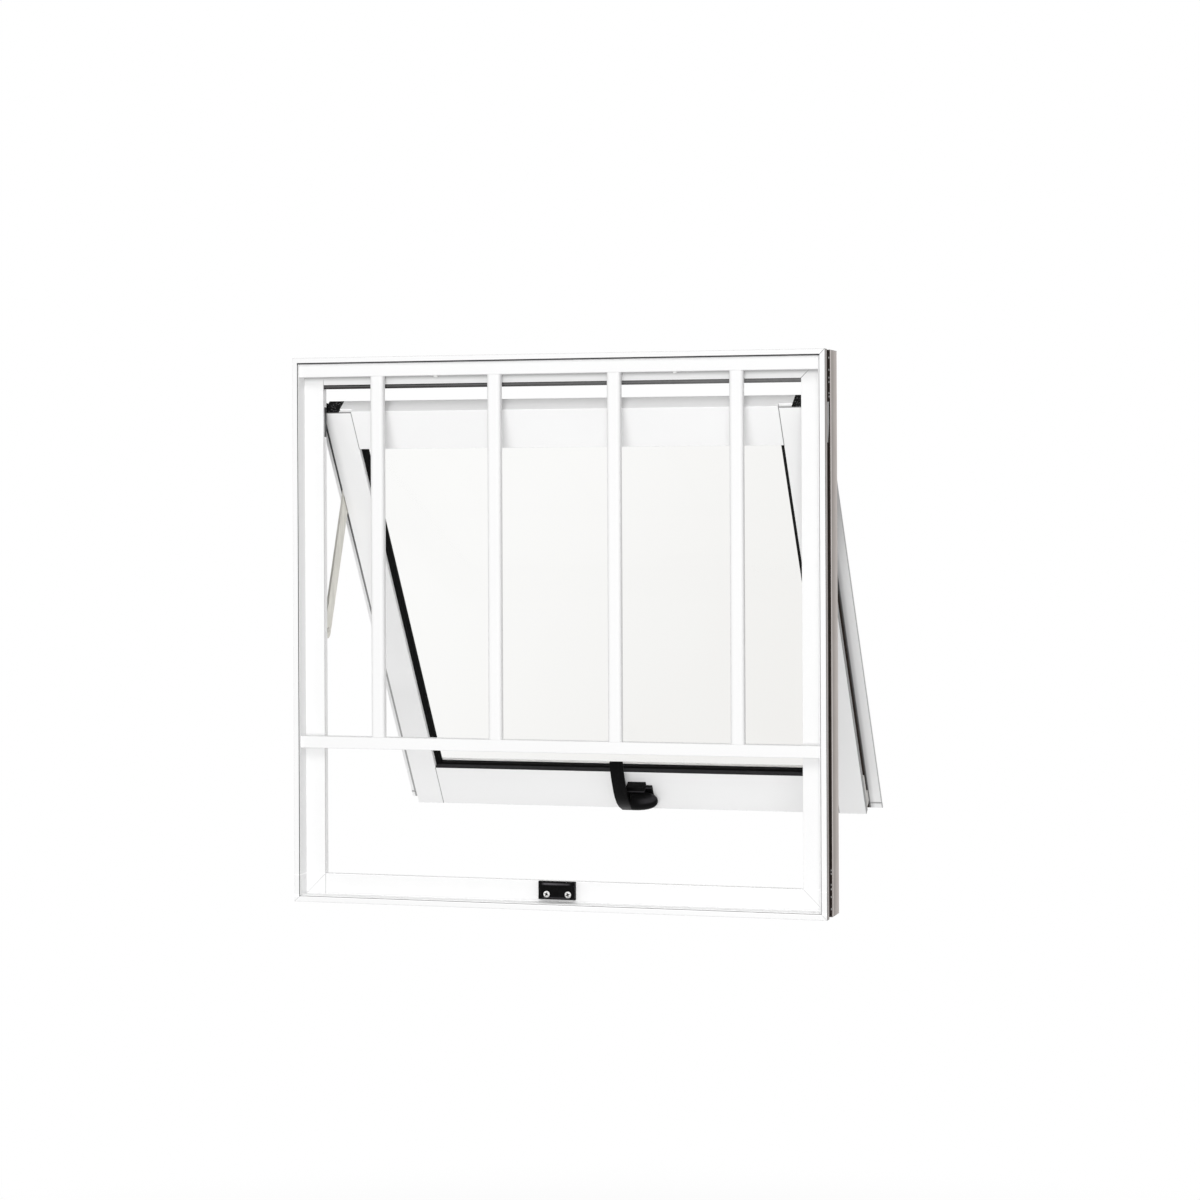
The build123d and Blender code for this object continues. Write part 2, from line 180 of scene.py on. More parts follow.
# Lamps as place and size, and the camera in metres, its depth before the room face
FRONT_LAMP = ((1.15, -6.2, 0.15), 2.7)
TOP_LAMP = ((0.95, -4.6, 3.7), 2.8)
LAMP_AIM = (0, 0.05, 0.3)
CAMERA_X, CAMERA_AWAY, CAMERA_Z = 0.964779, 3.102273, 0.446518
CAMERA_SHIFT = (0.00833, -0.08677)

# Tones over the coat: dark joints with painted shade, painted light, painted shade in recesses,
# and streaks
SEAM_AND_SHADE_TONE = (0.03, 0.03, 0.032)
PAINTED_LIGHT_TONE = (0.99, 0.99, 0.99)
SHADE_TONES = ((0.018, 0.012, 0.010), (0.075, 0.06, 0.052))
STREAK_TONE = (0.40, 0.355, 0.335)
# Colours of the frame's outer side from its room edge (0) to its outdoor edge (1): a thin
# brownish coat with painted shade at the front corner and round the channel, a painted
# highlight on the channel's back rim, and painted shade fading towards the outdoor edge
SIDE_BANDS = (
    (0.0, (0.12, 0.115, 0.11)),
    (0.055, (0.17, 0.155, 0.15)),
    (0.08, (0.62, 0.57, 0.55)),
    (0.125, (0.50, 0.45, 0.42)),
    (0.15, (0.16, 0.135, 0.125)),
    (0.445, (0.18, 0.15, 0.14)),
    (0.465, (0.95, 0.88, 0.84)),
    (0.505, (0.90, 0.83, 0.79)),
    (0.535, (0.33, 0.28, 0.255)),
    (0.68, (0.43, 0.375, 0.345)),
    (0.95, (0.70, 0.635, 0.595)),
)
# Places of bright scratches in the anchor channel, in millimetres from the frame's ends
CLEAT_MARKS = (8.5, 21.3, 29.6, 34.2, 45.9, 49.6)
FRAME_NODES = ("frame_head", "frame_sill", "frame_jamb_left", "frame_jamb_right")
BEAD_NODES = tuple(f"glazing_bead_{side}" for side in ("top", "bottom", "left", "right"))
SASH_NODES = ("sash_stile_left", "sash_stile_right", "sash_rail_top", "sash_rail_bottom")
SASH_NODES += BEAD_NODES
GRILLE_NODES = ("grille_top_rail", "grille_bottom_rail")
GRILLE_NODES += tuple(f"grille_bar_{number}" for number in (1, 2, 3, 4))
CLEAT_NODES = tuple(
    f"corner_cleat_{end}_{side}" for end in ("top", "bottom") for side in ("left", "right")
)
PIVOT_NODES = tuple(
    f"stay_pivot_{part}_{side}" for part in ("frame", "sash") for side in ("left", "right")
)
ARM_NODES = ("stay_arm_left", "stay_arm_right")
GUIDE_NODES = ("guide_block_left", "guide_block_right")
CORNER_BLOCK_NODES = ("stile_corner_block_left", "stile_corner_block_right")


# Sizes and colours that a user would change

COLOUR = {"subtype": "COLOR", "min": 0, "max": 1}


class FinishSettings(bpy.types.PropertyGroup):
    """Colours of the window's finishes."""

    coat: FloatVectorProperty(
        name="Powder coat",
        description="Colour of the white coat on frame, sash and grille",
        default=(0.87, 0.87, 0.87),
        **COLOUR,
    )
    glass: FloatVectorProperty(
        name="Glass",
        description="Tint of the glass pane",
        default=(0.93, 0.93, 0.92),
        **COLOUR,
    )
    nylon: FloatVectorProperty(
        name="Black nylon",
        description="Colour of the latch, keeper and guide blocks",
        default=(0.003, 0.003, 0.0032),
        **COLOUR,
    )
    rubber: FloatVectorProperty(
        name="Seal rubber",
        description="Colour of the glazing and weather seals",
        default=(0.0035, 0.0035, 0.0035),
        **COLOUR,
    )
    steel: FloatVectorProperty(
        name="Stay steel",
        description="Colour of the stay arms",
        default=(0.84, 0.825, 0.77),
        **COLOUR,
    )
    zinc: FloatVectorProperty(
        name="Screw zinc",
        description="Colour of the screws",
        default=(0.95, 0.95, 0.94),
        **COLOUR,
    )


class SashSettings(bpy.types.PropertyGroup):
    """Where the open sash lies."""

    opening: FloatProperty(
        name="Opening",
        description="Angle between the sash and the frame",
        default=math.radians(33.4),
        subtype="ANGLE",
    )
    edge_depth: FloatProperty(
        name="Top edge depth",
        description="How far the sash's top edge lies behind the room face of the frame",
        default=30.0 * MM,
        unit="LENGTH",
    )
    edge_height: FloatProperty(
        name="Top edge height",
        description="Z of the top edge of the sash's room face",
        default=541.067 * MM,
        unit="LENGTH",
    )


class ScrewSettings(bpy.types.PropertyGroup):
    """Sizes of the cross-recess screws."""

    head_radius: FloatProperty(
        name="Head radius",
        description="Radius of a keeper screw's head",
        default=3.7 * MM,
        unit="LENGTH",
    )
    head_height: FloatProperty(
        name="Head height",
        description="Height of a keeper screw's head",
        default=1.6 * MM,
        unit="LENGTH",
    )


class KeeperSettings(bpy.types.PropertyGroup):
    """Sizes of the keeper on the sill."""

    crown: FloatProperty(
        name="Crown",
        description="How far the middle of the keeper stands above its rim",
        default=1.6 * MM,
        unit="LENGTH",
    )


class StageSettings(bpy.types.PropertyGroup):
    """Camera, lamps and floor."""

    focal_length: FloatProperty(
        name="Focal length", description="Lens of the camera", default=90.513
    )
    yaw: FloatProperty(
        name="Camera yaw",
        description="Turn of the camera about the upright",
        default=math.radians(16.554),
        subtype="ANGLE",
    )
    roll: FloatProperty(
        name="Camera roll",
        description="Turn of the camera about its own axis",
        default=math.radians(-0.254),
        subtype="ANGLE",
    )
    front_power: FloatProperty(
        name="Front lamp",
        description="Power of the wide soft lamp in front, level with the window",
        default=181.0,
        unit="POWER",
    )
    top_power: FloatProperty(
        name="Top lamp",
        description="Power of the soft lamp above and in front",
        default=78.0,
        unit="POWER",
    )
    sky_level: FloatProperty(
        name="Room light", description="Level of the light all round", default=0.48
    )
    floor_drop: FloatProperty(
        name="Floor drop",
        description="Height of the sill above the floor",
        default=0.9,
        unit="LENGTH",
    )


# Shader sums


class Wire:
    """A shader socket that works in sums; node() makes any other node beside it."""

    def __init__(self, tree, socket=None):
        self.tree = tree
        self.socket = socket

    def node(self, kind, settings=None, inputs=None, output=0):
        """Make a node, set its settings, then its sockets, and return one output."""
        made = self.tree.nodes.new(kind)
        for name, value in (settings or {}).items():
            if name == "stops":
                ramp = made.color_ramp
                while len(ramp.elements) < len(value):
                    ramp.elements.new(0.5)
                for element, (place, colour) in zip(ramp.elements, value):
                    element.position = place
                    element.color = (*colour, 1)
            else:
                setattr(made, name, value)
        for name, value in (inputs or {}).items():
            self.feed(made, name, value)
        return Wire(self.tree, self.pick(made.outputs, output))

    def feed(self, made, name, value):
        """Give one socket of a node a number, a colour or a link."""
        socket = self.pick(made.inputs, name)
        if isinstance(value, Wire):
            self.tree.links.new(value.socket, socket)
        elif isinstance(value, (tuple, list)) and len(value) == 3 and socket.type == "RGBA":
            socket.default_value = (*value, 1)
        else:
            socket.default_value = value

    @staticmethod
    def pick(sockets, key):
        """Find a socket by its number, identifier or name."""
        if isinstance(key, int):
            return sockets[key]
        for socket in sockets:
            if socket.identifier == key:
                return socket
        return sockets[key]

    def sum(self, operation, first, second=0.0):
        return self.node("ShaderNodeMath", {"operation": operation}, {0: first, 1: second})

    def __add__(self, other):
        return self.sum("ADD", self, other)

    __radd__ = __add__

    def __sub__(self, other):
        return self.sum("SUBTRACT", self, other)

    def __rsub__(self, other):
        return self.sum("SUBTRACT", other, self)

    def __mul__(self, other):
        return self.sum("MULTIPLY", self, other)

    __rmul__ = __mul__

    def __truediv__(self, other):
        return self.sum("DIVIDE", self, other)

    def __abs__(self):
        return self.sum("ABSOLUTE", self)

    def lowest(self, other):
        return self.sum("MINIMUM", self, other)

    def highest(self, other):
        return self.sum("MAXIMUM", self, other)

    def ramp(self, low, high, bottom=0.0, top=1.0):
        """Smooth step from bottom to top as the value goes from low to high."""
        return self.node(
            "ShaderNodeMapRange",
            {"interpolation_type": "SMOOTHSTEP", "clamp": True},
            {"Value": self, "From Min": low, "From Max": high, "To Min": bottom, "To Max": top},
        )

    def band(self, low, high):
        """One between two places given in millimetres, zero outside them."""
        return self.sum("GREATER_THAN", self, low * MM) * self.sum("LESS_THAN", self, high * MM)

    def above(self, value):
        """One where the value is greater, zero elsewhere."""
        return self.sum("GREATER_THAN", self, value)

    def noise(self, scale, detail=2.0, stretch=None):
        """Noise from 0 to 1 over this vector, on a grain of 1 / scale metres."""
        place = self
        if stretch:
            place = self.node(
                "ShaderNodeVectorMath", {"operation": "MULTIPLY"}, {0: self, 1: stretch}
            )
        return self.node(
            "ShaderNodeTexNoise",
            {"noise_dimensions": "3D"},
            {"Vector": place, "Scale": scale, "Detail": detail, "Roughness": 0.5},
            "Fac",
        )

    def axes(self):
        """Split a vector into its three numbers."""
        made = self.tree.nodes.new("ShaderNodeSeparateXYZ")
        self.tree.links.new(self.socket, made.inputs[0])
        return [Wire(self.tree, out) for out in made.outputs]

    def blend(self, first, second):
        """Colour between two others, by this value."""
        return self.node(
            "ShaderNodeMix",
            {"data_type": "RGBA"},
            {"Factor_Float": self, "A_Color": first, "B_Color": second},
            "Result_Color",
        )

    def bump(self, strength, distance):
        """Normal of a surface with this height."""
        values = {"Strength": strength, "Distance": distance, "Height": self}
        return self.node("ShaderNodeBump", None, values)


def shader(name):
    """New material: its object coordinates as a wire, and its surface node."""
    material = bpy.data.materials.new(name)
    material.use_nodes = True
    tree = material.node_tree
    surface = next(n for n in tree.nodes if n.type == "BSDF_PRINCIPLED")
    place = Wire(tree).node("ShaderNodeTexCoord", None, None, "Object")
    return material, place, surface


def finish(surface, colour, rough, normal=None, specular=None):
    """Feed a surface its colour, roughness and normal, and set its specular level."""
    colour.feed(surface, "Base Color", colour)
    colour.feed(surface, "Roughness", rough)
    if normal:
        colour.feed(surface, "Normal", normal)
    if specular is not None:
        surface.inputs["Specular IOR Level"].default_value = specular


def shade(colour, factor):
    """A colour made lighter or darker."""
    return tuple(min(1.0, channel * factor) for channel in colour)


def strongest(first, *others):
    """The strongest of several masks."""
    for other in others:
        first = first.highest(other)
    return first


def settings(name):
    return getattr(bpy.context.scene, name)


def room_face():
    """Y of the frame's room face."""
    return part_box("frame_head")[0][1]


# Finishes


def powder_coat(name, colour, seams_and_shade=None, recess_shade=None, side=None, painted_light=None):
    """White coat with orange peel.

    Its masks give, in the order of the arguments, dark joints with painted shade, painted shade
    deep in recesses, the thin brownish coat outside with its painted shade and highlight, and
    painted light.
    """
    material, place, surface = shader(name)
    cloud = place.noise(7.0, 3.0).ramp(0.3, 0.7)
    grain = place.noise(900.0, 1.0).ramp(0.25, 0.75)
    tone = cloud.blend(shade(colour, 0.985), colour)
    tone = (grain * 0.25).blend(tone, shade(colour, 0.96))
    # painted light
    if painted_light:
        tone = painted_light(place).blend(tone, PAINTED_LIGHT_TONE)
    # the outer side's brownish coat with painted shade and a painted highlight
    if side:
        outer, side_colour = side(place)
        tone = outer.blend(tone, side_colour)
    # dark joints and painted shade
    if seams_and_shade:
        tone = seams_and_shade(place).blend(tone, SEAM_AND_SHADE_TONE)
    # painted shade deep in recesses
    if recess_shade:
        tone = recess_shade(place).blend(tone, place.noise(160.0, 3.0).blend(*SHADE_TONES))
    rough = place.noise(55.0, 2.0) * 0.14 + 0.36
    finish(surface, tone, rough, place.noise(650.0, 2.0).bump(0.10, 0.0003), 0.25)
    return material


def frame_reach(place):
    """Distances in from the frame's nearer side and nearer end, and back from its face."""
    x, y, z = place.axes()
    low, high = CAD_BOX[0], CAD_BOX[1]
    from_side = (high[0] - low[0]) / 2 - abs(x)
    middle = (low[2] + high[2]) / 2
    from_end = (high[2] - low[2]) / 2 - abs(z - middle)
    return from_side, from_end, y - room_face()


def channel_shade(place):
    """Mask of painted shade on the anchor channel's inner faces, left out on a lit wedge and on
    bright scratches.
    """
    from_side, from_end, depth = frame_reach(place)
    reach = from_side.lowest(from_end)
    mouth = reach.band(*CHANNEL_MOUTH) * depth.band(*CHANNEL_MOUTH_DEPTH)
    undercut = reach.band(*CHANNEL_UNDERCUT) * depth.band(*CHANNEL_UNDERCUT_DEPTH)
    # painted light: a lit wedge below the top corner, left out of the painted shade, that thins
    # out downwards
    taper = from_end * LIT_WEDGE_TAPER - LIT_WEDGE_START * MM
    lit_wedge = from_end.band(*LIT_WEDGE) * from_side.above(taper)
    unshaded = lit_wedge * place.axes()[2].above(MIDDLE_HEIGHT)
    for mark in CLEAT_MARKS:
        scratch = abs(from_end - mark * MM).ramp(0.0005, 0.0013, 0.8, 0.0)
        unshaded = unshaded.highest(scratch * reach.band(*SCRATCH_REACH))
    return mouth.highest(undercut) * (1 - unshaded)


def side_coat_and_shade(place):
    """Mask of the outer faces, which go into the wall, and their thin brownish coat with painted
    shade and a painted highlight in bands across the depth.
    """
    from_side, from_end, depth = frame_reach(place)
    outer = 1 - from_side.lowest(from_end).above(OUTER_SKIN * MM)
    share = depth / (FRAME_DEPTH * MM)
    bands = place.node("ShaderNodeValToRGB", {"stops": SIDE_BANDS}, {"Fac": share}, "Color")
    streaks = place.noise(260.0, 2.0, (1.0, 1.0, 0.06)).ramp(0.35, 0.7, 0.0, 0.2)
    return outer, streaks.blend(bands, STREAK_TONE)


def sash_axes(place):
    """Place on the sash: across, down from its top edge, and outwards from its face."""
    x, y, z = place.axes()
    sash = settings("window_sash")
    back, rise = y - (room_face() + sash.edge_depth), z - sash.edge_height
    sine, cosine = math.sin(sash.opening), math.cos(sash.opening)
    return x, back * sine - rise * cosine, back * cosine + rise * sine


def painted_light_rim(place):
    """Mask of the outer rim of the left flange, where light is painted on the coat."""
    x, _, through = sash_axes(place)
    return (1 - x.above(LEFT_FLANGE[0] * MM)) * through.above(FLANGE_FRONT * MM)


def groove_shade(place):
    """Mask of painted shade on the inner faces of the hardware grooves along the stiles."""
    x, _, through = sash_axes(place)
    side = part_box("sash_rail_top")[1][0] + TRACK_WALL * MM
    return (side - abs(x)).band(*TRACK_REACH) * through.band(*TRACK_THROUGH)


def sash_joints_and_shade(place):
    """Mask of the sash's dark lines: its joints, and painted shade on the left flange and edge,
    the right stile's side wall and the right flange.
    """
    x, down, through = sash_axes(place)
    aside = abs(x)
    face = 1 - through.above(FACE_BACK * MM)
    at_rails = (1 - down.above(TOP_RAIL_END * MM)).highest(down.above(BOTTOM_RAIL_START * MM))
    joint = abs(aside - STILE_JOINT * MM).ramp(0.0003, 0.0007, 0.55, 0.0) * at_rails * face
    top = aside.above(STILE_JOINT * MM) * (1 - down.above(TOP_EDGE_END * MM)) * face * 0.7
    # shade along the left stile's outer edge, most near its top
    edge = (x + STILE_EDGE * MM).ramp(0.0, 0.011, 0.25, 0.0)
    edge = edge * down.ramp(0.04, 0.20, 1.0, 0.0) * face
    deep = through.above(FLANGE_FRONT * MM)
    # painted shade on the left flange, most near its top
    flange = x.band(*LEFT_FLANGE) * deep * down.ramp(0.08, 0.42, 0.95, 0.55)
    # painted shade on the right stile's side wall
    wall = x.band(*STILE_WALL) * (1 - through.above(STILE_WALL_BACK * MM)) * 0.6
    # shade on the right flange: beside the stile, on its rim, near its top and at its joint
    past = x - SHADOW_EDGE * MM
    shadow = past.ramp(0.0, 0.0017, 0.9, 0.0).highest(past.ramp(0.001, 0.007, 0.3, 0.0))
    shadow = shadow * x.above(SHADOW_START * MM) * deep
    rim = x.above(FLANGE_RIM * MM) * deep * 0.42
    upper = x.above(FLANGE_START * MM) * deep * down.ramp(0.10, 0.24, 0.4, 0.0)
    gap = aside.above(FLANGE_START * MM) * down.band(*BOTTOM_GAP) * deep * 0.6
    return strongest(joint, top, edge, flange, wall, shadow, rim, upper, gap)


def frame_seams_and_shade(place):
    """Mask of the frame's dark lines: mitres, but for the filled one, and painted shade in the
    lip's groove, below the grille's top rail and along the left jamb's inner edge.
    """
    x, _, z = place.axes()
    from_side, from_end, depth = frame_reach(place)
    right, upper = x.above(0.0), z.above(MIDDLE_HEIGHT)
    left = 1 - right
    mitre = abs(from_side - from_end).ramp(0.0002, 0.0006, 1.0, 0.0)
    mitre = mitre * (right * upper * 0.75 + (1 - upper) * 0.3)
    # painted shade in the lip's groove on the head and the left jamb
    head = from_end.band(*HEAD_GROOVE) * upper * from_side.above(GROOVE_START * MM)
    jamb = from_side.band(*LIP_GROOVE) * left * from_end.above(GROOVE_START * MM)
    groove = depth.band(*GROOVE_DEPTH) * (head * 0.9).highest(jamb * 0.85)
    # painted shadow below the grille's top rail, then painted shade at the left jamb's inner edge
    # and deeper along it beside the sash's top
    dust_and_shadow = depth.band(*RAIL_SHADOW_DEPTH) * upper * from_end.ramp(0.0206, 0.0265, 0.5, 0.0)
    dust_and_shadow = dust_and_shadow * from_end.above(RAIL_SHADOW_START * MM)
    inner = left * from_side.band(*STOP_EDGE)
    edge = inner * depth.band(*STOP_FRONT_DEPTH) * 0.35
    gap_shade = inner * depth.band(*STOP_SHADE_DEPTH) * z.band(*STOP_SHADE_HEIGHT) * 0.96
    return strongest(mitre, groove, dust_and_shadow, edge, gap_shade)


def painted_light_edges(place):
    """Mask of painted light on the coat: the right jamb's groove, the sill's edges, the left
    stop's wall.
    """
    x, _, z = place.axes()
    from_side, from_end, depth = frame_reach(place)
    right, lower = x.above(0.0), 1 - z.above(MIDDLE_HEIGHT)
    groove = from_side.band(*LIP_GROOVE) * right * depth.band(*GROOVE_DEPTH)
    ledge = from_end.band(*SILL_LEDGE).highest(from_end.band(*SILL_FLANGE))
    ledge = ledge * lower * depth.band(*SILL_EDGE_DEPTH)
    wall = from_side.band(*STOP_WALL) * (1 - right) * depth.band(*STOP_WALL_DEPTH)
    return strongest(groove, ledge, wall)


def paint(nodes, material):
    """Give CAD nodes a material."""
    for node in nodes:
        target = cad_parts[node]
        for slot in target.material_slots:
            slot.material = material
        if not target.material_slots:
            target.data.materials.append(material)


def black_plastic(name, colour, rough, speckle=0.0, gleam=None):
    """Moulded black nylon with a fine grain, pale specks and a mask of painted highlights."""
    material, place, surface = shader(name)
    grain = place.noise(420.0, 2.0)
    tone = grain.ramp(0.3, 0.75).blend(shade(colour, 0.7), shade(colour, 1.5))
    if speckle:
        dots = place.noise(620.0, 1.0).ramp(0.62, 0.70)
        tone = (dots * speckle).blend(tone, (0.45, 0.45, 0.46))
    # painted highlight
    if gleam:
        tone = gleam(place).blend(tone, (0.115, 0.11, 0.12))
    rough = place.noise(90.0, 2.0) * 0.16 + rough
    finish(surface, tone, rough, grain.bump(0.22, 0.0003), 0.05)
    return material


def rubber(name, colour):
    """Matt extruded rubber."""
    material, place, surface = shader(name)
    grain = place.noise(300.0, 3.0)
    dust_and_shadow = place.noise(40.0, 4.0).ramp(0.55, 0.85)
    tone = grain.blend(shade(colour, 0.7), shade(colour, 1.3))
    tone = (dust_and_shadow * 0.06).blend(tone, (0.08, 0.08, 0.08))
    finish(surface, tone, grain * 0.2 + 0.5, grain.bump(0.2, 0.0003), 0.1)
    return material


def metal(name, colour, rough, stretch, marks=0.25, dark=None):
    """Bare metal with drawn marks one way and dull patches; dark names an attribute of hollows
    that get painted shade.
    """
    material, place, surface = shader(name)
    lines = place.noise(260.0, 3.0, stretch)
    dull = place.noise(30.0, 3.0).ramp(0.35, 0.75)
    tone = lines.ramp(0.25, 0.75).blend(shade(colour, 1 - marks), shade(colour, 1.05))
    tone = (dull * 0.5).blend(tone, shade(colour, 0.9))
    if dark:
        # painted shade in the hollows the attribute names
        hollow_shade = place.node("ShaderNodeAttribute", {"attribute_name": dark}, None, "Fac")
        tone = hollow_shade.blend(tone, (0.02, 0.018, 0.016))
    surface.inputs["Metallic"].default_value = 1.0
    finish(surface, tone, dull * 0.12 + (lines * 0.1 + rough), lines.bump(0.15, 0.0002))
    return material


def pane_glass(name, tint):
    """Clear float glass with faint smears."""
    material, place, surface = shader(name)
    x, _, z = place.axes()
    # painted shade, a little darker towards the lower right
    across = (x / -0.5 + (z - MIDDLE_HEIGHT) / 0.5).ramp(-0.8, 0.7)
    smears = place.noise(9.0, 4.0, (1.0, 1.0, 0.35)).ramp(0.35, 0.8)
    tone = across.blend((0.875, 0.868, 0.85), shade(tint, 1.04))
    tone = (smears * 0.25).blend(tone, shade(tint, 0.985))
    surface.inputs["Transmission Weight"].default_value = 1.0
    surface.inputs["IOR"].default_value = 1.12
    finish(surface, tone, smears * 0.02)
    return material


def pale_plastic(name):
    """Pale nylon of the blocks in the stiles."""
    material, place, surface = shader(name)
    grain = place.noise(300.0, 2.0)
    tone = grain.blend((0.68, 0.67, 0.64), (0.78, 0.77, 0.74))
    finish(surface, tone, grain * 0.15 + 0.45, grain.bump(0.15, 0.0003))
    return material


class WINDOW_OT_finishes(bpy.types.Operator):
    """Give every CAD node its finish"""

    bl_idname = "awning.finishes"
    bl_label = "Finishes"

    def execute(self, context):
        look = settings("window_finish")
        coat = tuple(look.coat)
        frame_coat = powder_coat(
            "frame_coat", coat, frame_seams_and_shade, channel_shade, side_coat_and_shade, painted_light_edges
        )
        paint(FRAME_NODES, frame_coat)
        # painted light: the sash gets the coat a tenth lighter than the frame
        sash_coat = powder_coat(
            "sash_coat", shade(coat, 1.10), sash_joints_and_shade, groove_shade, None, painted_light_rim
        )
        paint(SASH_NODES, sash_coat)
        paint(GRILLE_NODES, powder_coat("grille_coat", coat))
        paint(CLEAT_NODES, black_plastic("cleat_nylon", (0.02, 0.018, 0.017), 0.5))
        paint(ARM_NODES, metal("stay_strip", tuple(look.steel), 0.4, (6.0, 1.0, 0.12), 0.12))
        paint(PIVOT_NODES, metal("rivet_metal", shade(look.steel, 0.9), 0.3, (1, 1, 1)))
        paint(("glass_pane",), pane_glass("pane_glass", tuple(look.glass)))
        paint(GUIDE_NODES, black_plastic("guide_nylon", tuple(look.nylon), 0.5, 0.5))
        paint(CORNER_BLOCK_NODES, pale_plastic("pale_nylon"))
        return {"FINISHED"}


# Shapes


def new_piece(name, mesh, material, slot, *nodes):
    """Put a finished mesh in the scene and tie it to the CAD model."""
    piece = added(name, mesh)
    if material and not mesh.materials:
        mesh.materials.append(material)
    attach(piece, "root")
    if nodes:
        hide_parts(*nodes)
    return piece


def added(name, data):
    """Put a new object in the scene."""
    made = bpy.data.objects.new(name, data)
    bpy.context.scene.collection.objects.link(made)
    return made


def smoothed(mesh, angle):
    """Shade a mesh smooth, but for edges sharper than an angle in degrees."""
    if angle is not None:
        for face in mesh.polygons:
            face.use_smooth = True
        mesh.set_sharp_from_angle(angle=math.radians(angle))
    return mesh


def mesh_from(shape, name, smooth_angle=None):
    """Close a bmesh into a mesh with outward normals."""
    bmesh.ops.remove_doubles(shape, verts=shape.verts, dist=1e-6)
    bmesh.ops.recalc_face_normals(shape, faces=shape.faces)
    mesh = bpy.data.meshes.new(name)
    shape.to_mesh(mesh)
    shape.free()
    return smoothed(mesh, smooth_angle)


def plain_mesh(holder, name):
    """Mesh of an object with its modifiers applied; the object is removed."""
    graph = bpy.context.evaluated_depsgraph_get()
    mesh = bpy.data.meshes.new_from_object(holder.evaluated_get(graph))
    mesh.name = name
    bpy.data.objects.remove(holder)
    return mesh


def bevelled(mesh, name, width, smooth_angle):
    """Round the edges of a mesh."""
    holder = added(name + "_work", mesh)
    bevel = holder.modifiers.new("bevel", "BEVEL")
    bevel.width, bevel.segments, bevel.limit_method = width, 3, "ANGLE"
    return smoothed(plain_mesh(holder, name), smooth_angle)


def sash_matrix():
    """Turns the sash's own axes (right, down its face, outwards) into the frame's."""
    sash = settings("window_sash")
    sine, cosine = math.sin(sash.opening), math.cos(sash.opening)
    return Matrix(
        (
            (1, 0, 0, 0),
            (0, sine, cosine, room_face() + sash.edge_depth),
            (0, -cosine, sine, sash.edge_height),
            (0, 0, 0, 1),
        )
    )


def skin(shape, loops):
    """Join each loop to the next, of as many points, with quads."""
    for one, two in zip(loops, loops[1:]):
        for index in range(len(one)):
            after = (index + 1) % len(one)
            shape.faces.new((one[index], one[after], two[after], two[index]))


def circle(sides, radius):
    """Places round a circle, as pairs."""
    turns = [2 * math.pi * step / sides for step in range(sides)]
    return [(radius * math.cos(turn), radius * math.sin(turn)) for turn in turns]


def ring(outer_half, top, low, profile, low_share=1.0):
    """Closed seal round a rectangle: profile points are (inwards, depth)."""
    shape = bmesh.new()
    loops = []
    for inwards, depth in profile:
        half = outer_half - inwards
        corners = (
            (-half, top + inwards),
            (half, top + inwards),
            (half, low - inwards * low_share),
            (-half, low - inwards * low_share),
        )
        loops.append([shape.verts.new((x, y, depth)) for x, y in corners])
    skin(shape, loops + loops[:1])
    return shape


def arc(centre, radius, start, end, steps):
    """Points on an arc, in degrees, for a seal's rounded lip."""
    turns = [math.radians(start + (end - start) * step / steps) for step in range(steps + 1)]
    across, deep = centre
    return [(across + radius * math.cos(t), deep + radius * math.sin(t)) for t in turns]


